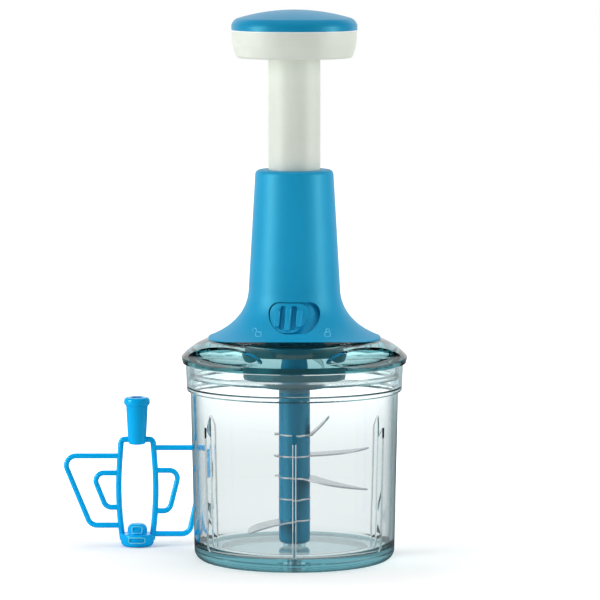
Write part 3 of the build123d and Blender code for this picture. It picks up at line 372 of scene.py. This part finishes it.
def clear_plastic(name, surface_color, body_color, density, roughness=0.0,
                  crown_color=None, crown_low=0.0, crown_high=1.0):
    """Polished clear plastic: its surface refracts, and its depth takes up all but body_color.

    The surface's tint goes over to deep teal where the outside is seen at a slant, a painted shade
    for the dark edges that refraction of dark surroundings shows. With a crown_color it goes over
    to that one between the heights crown_low and crown_high. Lamps shine through it.
    """
    material, tree, output = new_tree(name)
    skin = add_node(tree, "Group", node_tree=handling)
    skin.inputs["Color"].default_value = surface_color
    if crown_color:
        place = add_node(tree, "TexCoord")
        axes = add_node(tree, "SeparateXYZ")
        crown = add_node(tree, "MixRGB")
        crown.inputs["Color1"].default_value = surface_color
        crown.inputs["Color2"].default_value = crown_color
        tree.links.new(place.outputs["Object"], axes.inputs[0])
        rise = ramp(tree, axes.outputs["Z"], crown_low, crown_high, 0.0, 1.0)
        tree.links.new(rise, crown.inputs["Fac"])
        tree.links.new(crown.outputs["Color"], skin.inputs["Color"])
    skin.inputs["Tone"].default_value = 0.0
    skin.inputs["Roughness"].default_value = roughness
    skin.inputs["Smudge"].default_value = 0.02
    skin.inputs["Patch Scale"].default_value = 18.0
    skin.inputs["Grain Scale"].default_value = 55.0
    skin.inputs["Grain Depth"].default_value = 0.00002
    shader = add_node(tree, "BsdfPrincipled")
    shader.inputs["Transmission Weight"].default_value = 1.0
    shader.inputs["IOR"].default_value = 1.5
    # Painted shade: the base colour darkens to deep teal at a slant, for the dark edges of the
    # walls.
    slant = add_node(tree, "LayerWeight")
    slant.inputs["Blend"].default_value = 0.5
    rim = ramp(tree, slant.outputs["Facing"], slant_start, slant_end, 0.0, 1.0)
    side = add_node(tree, "NewGeometry")
    outside = add_node(tree, "Math", operation="SUBTRACT")
    outside.inputs[0].default_value = 1.0
    tree.links.new(side.outputs["Backfacing"], outside.inputs[1])
    shade = add_node(tree, "MixRGB")
    shade.inputs["Color2"].default_value = painted_edge_teal
    tree.links.new(product(tree, rim, outside.outputs[0]), shade.inputs["Fac"])
    depth = add_node(tree, "VolumeAbsorption")
    depth.inputs["Color"].default_value = body_color
    depth.inputs["Density"].default_value = density
    tree.links.new(skin.outputs["Color"], shade.inputs["Color1"])
    tree.links.new(shade.outputs["Color"], shader.inputs["Base Color"])
    tree.links.new(skin.outputs["Roughness"], shader.inputs["Roughness"])
    tree.links.new(skin.outputs["Normal"], shader.inputs["Normal"])
    path = add_node(tree, "LightPath")
    passing = add_node(tree, "BsdfTransparent")
    passing.inputs["Color"].default_value = surface_color
    wall = add_node(tree, "MixShader")
    tree.links.new(path.outputs["Is Shadow Ray"], wall.inputs["Fac"])
    tree.links.new(shader.outputs[0], wall.inputs[1])
    tree.links.new(passing.outputs[0], wall.inputs[2])
    tree.links.new(wall.outputs[0], output.inputs["Surface"])
    tree.links.new(depth.outputs[0], output.inputs["Volume"])
    return material


def dress(nodes, material):
    """Gives each named CAD node this material alone; its shape stays as it is."""
    for name in nodes:
        cad[name].data.materials.clear()
        cad[name].data.materials.append(material)


dress(["bowl"], clear_plastic("bowl_plastic", bowl_surface, bowl_depth, density=32.0))

# ---------------------------------------------------------------- pivot pin
# A stainless pin, turned and ground, moulded into the boss in the bowl's floor. The blade shaft's
# foot turns on it.


def marked_metal(name, color, roughness, stretch):
    """Bare metal with fine marks.

    They are a noise that is read at the place * stretch, so they run along the axis that has the
    smallest number. They add to the roughness and bend the normal.
    """
    material, tree, output = new_tree(name)
    place = add_node(tree, "TexCoord")
    drawn = add_node(tree, "Mapping")
    drawn.inputs["Scale"].default_value = stretch
    marks = add_node(tree, "TexNoise")
    marks.inputs["Scale"].default_value = 1.0
    marks.inputs["Detail"].default_value = 4.0
    skin = add_node(tree, "Group", node_tree=handling)
    skin.inputs["Color"].default_value = color
    skin.inputs["Tone"].default_value = 0.05
    skin.inputs["Roughness"].default_value = roughness
    skin.inputs["Smudge"].default_value = 0.08
    blur = add_node(tree, "Math", operation="MULTIPLY_ADD")
    blur.inputs[1].default_value = mark_blur
    bump = add_node(tree, "Bump")
    bump.inputs["Distance"].default_value = mark_depth
    shader = add_node(tree, "BsdfPrincipled")
    shader.inputs["Metallic"].default_value = 1.0
    tree.links.new(place.outputs["Object"], drawn.inputs["Vector"])
    tree.links.new(drawn.outputs["Vector"], marks.inputs["Vector"])
    tree.links.new(marks.outputs["Fac"], blur.inputs[0])
    tree.links.new(skin.outputs["Roughness"], blur.inputs[2])
    tree.links.new(marks.outputs["Fac"], bump.inputs["Height"])
    tree.links.new(skin.outputs["Color"], shader.inputs["Base Color"])
    tree.links.new(blur.outputs[0], shader.inputs["Roughness"])
    tree.links.new(bump.outputs["Normal"], shader.inputs["Normal"])
    tree.links.new(shader.outputs[0], output.inputs["Surface"])
    return material


steel_color = (0.60, 0.62, 0.64, 1.0)
mark_blur = 0.12
mark_depth = 0.000004
turned_steel = marked_metal("turned_steel", steel_color,
                            roughness=0.16, stretch=(200.0, 200.0, 9000.0))
dress(["pivot_pin"], turned_steel)

# ---------------------------------------------------------------- lid
# A domed clear moulding with a deeper tint than the bowl, pushed into the bowl's collar. Four
# finger scoops are sunk into its slope, and the tower stands on its crown. The tint is deeper on
# the slope and the crown than on the skirt.
lid_skirt = (0.95, 0.99, 0.99, 1.0)
lid_crown = (0.50, 0.76, 0.78, 1.0)
lid_depth = (0.30, 0.66, 0.70, 1.0)
lid_plastic = clear_plastic("lid_plastic", lid_skirt, lid_depth, density=65.0,
                            crown_color=lid_crown, crown_low=0.1222, crown_high=0.1236)
dress(["lid"], lid_plastic)

# ---------------------------------------------------------------- lid seal
# A pale see-through ring of silicone, a little dull, stretched into the groove of the lid's
# skirt. It holds the lid in the bowl by friction.
seal_surface = (0.98, 1.0, 1.0, 1.0)
seal_depth = (0.80, 0.95, 0.96, 1.0)
seal_silicone = clear_plastic("seal_silicone", seal_surface, seal_depth,
                              density=20.0, roughness=0.14)
dress(["lid_seal"], seal_silicone)

# ---------------------------------------------------------------- tower housing
# A satin teal moulding, flared at its foot, which three screws from below clamp to the lid. An
# open and a closed padlock stand out from the flare, left and right of the lock button, to show
# which way it is locked. Their lighter teal is a painted highlight of their raised edges.
cyan = (0.25, 0.92, 1.0, 1.0)
tower_color = (0.006, 0.335, 0.62, 1.0)
# The padlocks' colour is lighter than the tower's teal, a painted highlight of their raised edges.
mark_highlight_color = (0.10, 0.56, 0.84, 1.0)
plastic_ior = 1.49
mould_grain = 0.000012


def moulded_plastic(name, color, roughness, gloss=0.5, gloss_color=white, tone=0.04, smudge=0.06):
    """Opaque moulded plastic with a little variation of tone, smudges and the mould's grain."""
    material, tree, output = new_tree(name)
    skin = add_node(tree, "Group", node_tree=handling)
    skin.inputs["Color"].default_value = color
    skin.inputs["Tone"].default_value = tone
    skin.inputs["Roughness"].default_value = roughness
    skin.inputs["Smudge"].default_value = smudge
    skin.inputs["Grain Depth"].default_value = mould_grain
    shader = add_node(tree, "BsdfPrincipled")
    shader.inputs["IOR"].default_value = plastic_ior
    shader.inputs["Specular IOR Level"].default_value = gloss
    shader.inputs["Specular Tint"].default_value = gloss_color
    tree.links.new(skin.outputs["Color"], shader.inputs["Base Color"])
    tree.links.new(skin.outputs["Roughness"], shader.inputs["Roughness"])
    tree.links.new(skin.outputs["Normal"], shader.inputs["Normal"])
    tree.links.new(shader.outputs[0], output.inputs["Surface"])
    return material


teal_plastic = moulded_plastic("teal_plastic", tower_color,
                               roughness=0.42, gloss=1.0, gloss_color=cyan)
dress(["tower_housing"], teal_plastic)

# The flare's outline is a cubic curve; these are the radius and height of its four poles.
flare_poles = 0.001 * np.array([(28.4, 168.0), (29.05, 156.5), (36.6, 145.6), (53.4, 139.1)])
flare_points = 200
flare_lean = 0.8
tube_sides = 12
dome_share = 0.7
tip_share = 0.02
mark_radius = 0.00038
mark_height = 0.1443
body_half_width = 0.0017
body_half_height = 0.0012
body_power = 0.5
body_points = 48
shackle_half_width = 0.0011
shackle_rise = 0.0018
shackle_power = 0.7
shackle_points = 24


def flare_radius(height):
    """The flare's radius at a height, read off its outline.

    The outline is (1 - t)^3 a + 3 (1 - t)^2 t b + 3 (1 - t) t^2 c + t^3 d, of the poles a to d.
    """
    t = np.linspace(0.0, 1.0, flare_points)[:, None]
    a, b, c, d = flare_poles
    curve = (1 - t) ** 3 * a + 3 * (1 - t) ** 2 * t * b + 3 * (1 - t) * t ** 2 * c + t ** 3 * d
    return np.interp(height, curve[::-1, 1], curve[::-1, 0])


def tube_along(path, outward, radius, closed):
    """Points and faces of a round bead along a path of points (n, 3).

    Each ring lies across the path: the point + radius * (cos a * outward + sin a * sideways).
    An open bead ends in two smaller rings and a flat tip.
    """
    ahead = np.roll(path, -1, 0) - np.roll(path, 1, 0) if closed else np.gradient(path, axis=0)
    ahead /= np.linalg.norm(ahead, axis=1)[:, None]
    up = outward - (outward * ahead).sum(1)[:, None] * ahead
    up /= np.linalg.norm(up, axis=1)[:, None]
    size = np.full(len(path), radius)
    if not closed:
        reach = radius * np.array([1.0, dome_share])[:, None]
        before = path[0] - reach * ahead[0]
        after = path[-1] + reach[::-1] * ahead[-1]
        path = np.concatenate([before, path, after])
        up = np.concatenate([up[:1], up[:1], up, up[-1:], up[-1:]])
        ahead = np.concatenate([ahead[:1], ahead[:1], ahead, ahead[-1:], ahead[-1:]])
        ends = radius * np.array([tip_share, dome_share])
        size = np.concatenate([ends, size, ends[::-1]])
    aside = np.cross(ahead, up)
    angle = np.linspace(0.0, 2 * math.pi, tube_sides, endpoint=False)[None, :, None]
    around = np.cos(angle) * up[:, None] + np.sin(angle) * aside[:, None]
    points = (path[:, None] + size[:, None, None] * around).reshape(-1, 3)
    faces = ring_faces(len(path), tube_sides, closed).tolist()
    if not closed:
        faces.append(list(range(tube_sides - 1, -1, -1)))
        faces.append(list(range(len(points) - tube_sides, len(points))))
    return points, faces


def join_tubes(name, tubes, material):
    """One piece from several beads."""
    points, faces, start = [], [], 0
    for tube_points, tube_faces in tubes:
        points.append(tube_points)
        faces += [[start + corner for corner in face] for face in tube_faces]
        start += len(tube_points)
    return make_piece(name, np.concatenate(points), faces, material)


def squarish(wave, half_size, power):
    """A squarish oval's coordinate: half_size * |wave|^power, with the wave's own sign."""
    return half_size * np.sign(wave) * np.abs(wave) ** power


def on_flare(across, height):
    """Points on the flare's front and their outward directions, from across (x) and height (z).

    Depth (y) = -(radius^2 - across^2)^(1/2), with the flare's radius at that height. Outward is
    across and depth over the radius, with flare_lean upwards.
    """
    radius = flare_radius(height)
    depth = -np.sqrt(radius ** 2 - across ** 2)
    outward = np.stack([across / radius, depth / radius, np.full_like(across, flare_lean)], -1)
    return np.stack([across, depth, height], -1), outward


def padlock(name, middle_x, shackle_shift):
    """A padlock's outline: a squarish oval body and a shackle, half an oval, that stands on it."""
    turn = np.linspace(0.0, 2 * math.pi, body_points, endpoint=False)
    body_x = middle_x + squarish(np.cos(turn), body_half_width, body_power)
    body_z = mark_height + squarish(np.sin(turn), body_half_height, body_power)
    arch = np.linspace(0.0, math.pi, shackle_points)
    arch_x = middle_x + shackle_shift + shackle_half_width * np.cos(arch)
    arch_z = mark_height + body_half_height + shackle_rise * np.sin(arch) ** shackle_power
    beads = [tube_along(*on_flare(body_x, body_z), mark_radius, True),
             tube_along(*on_flare(arch_x, arch_z), mark_radius, False)]
    return join_tubes(name, beads, mark_highlight_plastic)


# Painted highlight: the padlocks are lighter than the flare, for their raised edges catching the
# light.
mark_highlight_plastic = moulded_plastic("mark_highlight_plastic", mark_highlight_color,
                               roughness=0.35, gloss=1.0, gloss_color=cyan)
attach(padlock("open_mark", middle_x=-0.0219, shackle_shift=-0.0022), "head")
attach(padlock("closed_mark", middle_x=0.0203, shackle_shift=0.0), "head")

# ---------------------------------------------------------------- tower bush and tower screws
# The bush is a milky sleeve of turned acetal, pressed into the tower's top, in which the plunger
# slides. Three zinc-plated countersunk screws pass the base plate and the lid into the tower.
milky_white = (0.80, 0.80, 0.76, 1.0)
plated_color = (0.62, 0.63, 0.62, 1.0)
acetal = moulded_plastic("acetal", milky_white, roughness=0.38)
dress(["tower_bush"], acetal)
plated_steel = marked_metal("plated_steel", plated_color,
                            roughness=0.24, stretch=(2500.0, 2500.0, 2500.0))
dress(["tower_screws"], plated_steel)

# ---------------------------------------------------------------- base plate and its bearing
# A dark teal moulding clamps the lid to the tower. The spindle's bush in its boss is of sintered
# bronze, pressed in, with fine dark pores. A turned steel washer lies on the bush.
dark_teal = (0.008, 0.11, 0.14, 1.0)
bronze_color = (0.56, 0.37, 0.17, 1.0)
pore_color = (0.14, 0.09, 0.05, 1.0)
dark_teal_plastic = moulded_plastic("dark_teal_plastic", dark_teal,
                                    roughness=0.38, gloss=0.5, gloss_color=cyan)
dress(["base_plate"], dark_teal_plastic)


def sintered_bronze():
    """Bronze whose colour and roughness go dark and dull in small pores, the peaks of a noise."""
    material, tree, output = new_tree("sintered_bronze")
    place = add_node(tree, "TexCoord")
    pores = add_node(tree, "TexNoise")
    pores.inputs["Scale"].default_value = 3200.0
    pores.inputs["Detail"].default_value = 3.0
    share = add_node(tree, "MapRange")
    share.inputs["From Min"].default_value = 0.56
    share.inputs["From Max"].default_value = 0.66
    tint = add_node(tree, "MixRGB")
    tint.inputs["Color1"].default_value = bronze_color
    tint.inputs["Color2"].default_value = pore_color
    dull = add_node(tree, "MapRange")
    dull.inputs["To Min"].default_value = 0.32
    dull.inputs["To Max"].default_value = 0.7
    shader = add_node(tree, "BsdfPrincipled")
    shader.inputs["Metallic"].default_value = 1.0
    tree.links.new(place.outputs["Object"], pores.inputs["Vector"])
    tree.links.new(pores.outputs["Fac"], share.inputs["Value"])
    tree.links.new(share.outputs["Result"], tint.inputs["Fac"])
    tree.links.new(share.outputs["Result"], dull.inputs["Value"])
    tree.links.new(tint.outputs["Color"], shader.inputs["Base Color"])
    tree.links.new(dull.outputs["Result"], shader.inputs["Roughness"])
    tree.links.new(shader.outputs[0], output.inputs["Surface"])
    return material


bronze = sintered_bronze()
dress(["spindle_bush"], bronze)
dress(["thrust_washer"], turned_steel)

# ---------------------------------------------------------------- hub under the lid
# A dark teal moulded cup that houses the clutch. Three plated screws hold it to the base plate,
# and a flanged acetal bearing is pressed into its floor.
dress(["hub_housing"], dark_teal_plastic)
dress(["hub_screws"], plated_steel)
dress(["hub_bush"], acetal)

# ---------------------------------------------------------------- return spring
# Drawn spring-steel wire, wound cold, with its end turns closed. It stands between the base plate
# and the drive nut, and shortens as the plunger goes down.
wire_color = (0.45, 0.46, 0.47, 1.0)
coil_turns = 10.0
points_a_turn = 36
closed_turns = 0.4
open_pitch = 4.5
wire_radius = 0.00057
spring_low, spring_high = [corner.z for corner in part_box("return_spring")]
spring_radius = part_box("return_spring")[1].x - wire_radius


def coil_path(low, high):
    """Points of a helix, and their outward directions.

    Its pitch goes smoothly from 1, in the end turns, to open_pitch. The pitches are added up
    along the helix and scaled so that it goes from low to high.
    """
    turn = np.linspace(0.0, coil_turns, int(coil_turns * points_a_turn) + 1)
    near = np.clip(np.minimum(turn, coil_turns - turn) - closed_turns, 0.0, 1.0)
    pitch = 1.0 + (open_pitch - 1.0) * near * near * (3.0 - 2.0 * near)
    rise = np.concatenate([[0.0], np.cumsum((pitch[1:] + pitch[:-1]) / 2)])
    height = low + (high - low) * rise / rise[-1]
    angle = 2 * math.pi * turn
    outward = np.stack([np.cos(angle), np.sin(angle), np.zeros_like(turn)], -1)
    return outward * spring_radius + np.array([0.0, 0.0, 1.0]) * height[:, None], outward


spring_wire = marked_metal("spring_wire", wire_color,
                           roughness=0.22, stretch=(1200.0, 1200.0, 5000.0))
coil_line, coil_outward = coil_path(spring_low + wire_radius, spring_high - wire_radius)
coil = tube_along(coil_line, coil_outward, wire_radius, False)
spring_coil = make_piece("spring_coil", *coil, spring_wire)
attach(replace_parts(spring_coil, "return_spring"), "head")
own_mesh(spring_coil)

# ---------------------------------------------------------------- plunger
# A white moulded tube slides in the bush. A black rubber ring on it softens the end of its
# upstroke, and the acetal drive nut sits on its shoulder.
warm_white = (0.755, 0.80, 0.715, 1.0)
rubber_black = (0.02, 0.02, 0.02, 1.0)
white_plastic = moulded_plastic("white_plastic", warm_white, roughness=0.45)
dress(["plunger_tube"], white_plastic)
dress(["drive_nut"], acetal)
rubber = moulded_plastic("bumper_rubber", rubber_black, roughness=0.7, tone=0.1, smudge=0.15)
dress(["stop_bumper"], rubber)

# ---------------------------------------------------------------- knob
# A white moulded palm knob, screwed to the tube's end, with a glossier teal cap plugged into it.
# The body's mouth ends in a thin lip round the cap, a bead along a circle, coloured whiter than
# the body as a painted highlight where its edge catches the light.
cap_color = (0.006, 0.27, 0.50, 1.0)
lip_highlight_white = (0.93, 0.95, 0.93, 1.0)
lip_radius = 0.00035
lip_circle_radius = 0.03865
lip_height = 0.3284
lip_points = 180
dress(["knob_body"], white_plastic)
cap_plastic = moulded_plastic("cap_plastic", cap_color, roughness=0.33, gloss=0.8, gloss_color=cyan)
dress(["knob_cap"], cap_plastic)
dress(["knob_screws"], plated_steel)
lip_turn = np.linspace(0.0, 2 * math.pi, lip_points, endpoint=False)
lip_outward = np.stack([np.cos(lip_turn), np.sin(lip_turn), np.zeros(lip_points)], -1)
lip_path = lip_outward * lip_circle_radius + np.array([0.0, 0.0, lip_height])
# Painted highlight: the lip is whiter than the knob body, for its edge catching the light.
lip_highlight_plastic = moulded_plastic("lip_highlight_plastic", lip_highlight_white, roughness=0.3)
lip = tube_along(lip_path, lip_outward, lip_radius, True)
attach(make_piece("knob_lip", *lip, lip_highlight_plastic), "plunger")

# ---------------------------------------------------------------- lock
# An acetal ring turns on the base plate's wall and traps the pressed plunger's lugs. The teal
# button in the flare's window is its handle; its stem sits in the ring's notch.
dress(["lock_ring"], acetal)
dress(["lock_button"], teal_plastic)

# ---------------------------------------------------------------- drive spindle and clutch
# The spindle is a steel strip, twisted hot, that the nut drives. Under it an acetal star with
# three ground rollers turns in a dark teal cup, whose journal carries the drive coupling.
twisted_steel = marked_metal("twisted_steel", steel_color,
                             roughness=0.20, stretch=(900.0, 900.0, 900.0))
dress(["drive_spindle"], twisted_steel)
dress(["clutch_star"], acetal)
dress(["clutch_rollers", "clutch_cover", "spindle_screw"], turned_steel)
dress(["clutch_ring", "drive_coupling"], dark_teal_plastic)

# ---------------------------------------------------------------- blade shaft
# Blue moulded sleeves, threaded on a drawn hexagonal rod, keep the blades apart. A bronze bush
# pressed into the foot turns on the bowl's pin.
shaft_blue = (0.004, 0.18, 0.32, 1.0)
sleeves = ["shaft_head", "shaft_foot"] + [f"shaft_spacer_{step}" for step in range(1, 5)]
shaft_plastic = moulded_plastic("shaft_plastic", shaft_blue,
                                roughness=0.32, gloss=0.5, gloss_color=cyan)
dress(sleeves, shaft_plastic)
drawn_steel = marked_metal("drawn_steel", steel_color,
                           roughness=0.2, stretch=(3000.0, 3000.0, 40.0))
dress(["core_rod"], drawn_steel)
dress(["foot_bush"], bronze)

# ---------------------------------------------------------------- blades
# Five sickles punched from stainless sheet, with hexagonal eyes on the rod. Both faces are ground
# on a belt, which leaves fine scratches and a slightly blurred shine.
blade_color = (0.58, 0.61, 0.63, 1.0)
blade_steel = marked_metal("blade_steel", blade_color,
                           roughness=0.14, stretch=(400.0, 6000.0, 6000.0))
dress([f"blade_{step}" for step in range(1, 6)], blade_steel)

# ---------------------------------------------------------------- mixing paddle
# One glossy bright blue moulding, which stands beside the bowl by itself and takes the blades'
# place on the drive when it is wanted. The raised rims of the two windows on its hub are lighter,
# a painted highlight where they catch the light.
paddle_blue = (0.0, 0.48, 1.0, 1.0)
# The rims' lighter blue is a painted highlight of their raised edges.
rim_highlight_blue = (0.18, 0.80, 1.0, 1.0)
paddle_x = -0.0997
paddle_y = 0.049
rim_radius = 0.00035
rim_power = 0.45
rim_points = 64
roundest = 0.98
paddle_plastic = moulded_plastic("paddle_plastic", paddle_blue,
                                 roughness=0.14, gloss=1.0, gloss_color=cyan)
dress(["mixing_paddle"], paddle_plastic)


def window_rim(width, height, level, hub_radius, round_start, round_radius):
    """A bead round a window, a squarish oval, laid on the front of the round hub.

    Above round_start the hub's side curves in as a quarter circle of round_radius, which is
    followed up to the share roundest of its height.
    """
    turn = np.linspace(0.0, 2 * math.pi, rim_points, endpoint=False)
    across = squarish(np.cos(turn), width / 2, rim_power)
    rise = level + squarish(np.sin(turn), height / 2, rim_power)
    over = np.clip(rise - round_start, 0.0, round_radius * roundest)
    radius = hub_radius - round_radius + np.sqrt(round_radius ** 2 - over ** 2)
    depth = -np.sqrt(radius ** 2 - across ** 2)
    outward = np.stack([across / radius, depth / radius, over / round_radius], -1)
    path = np.stack([paddle_x + across, paddle_y + depth, rise], -1)
    return tube_along(path, outward, rim_radius, True)


low_rim = window_rim(width=0.0103, height=0.0035, level=0.0049,
                     hub_radius=0.0112, round_start=0.1, round_radius=0.001)
high_rim = window_rim(width=0.0062, height=0.0041, level=0.0109,
                      hub_radius=0.00655, round_start=0.0108, round_radius=0.0038)
# Painted highlight: the window rims are a lighter blue than the paddle, for their edges catching
# the light.
rim_highlight_plastic = moulded_plastic("rim_highlight_plastic", rim_highlight_blue, roughness=0.2, gloss=1.0, gloss_color=cyan)
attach(join_tubes("paddle_window_rims", [low_rim, high_rim], rim_highlight_plastic), "paddle")
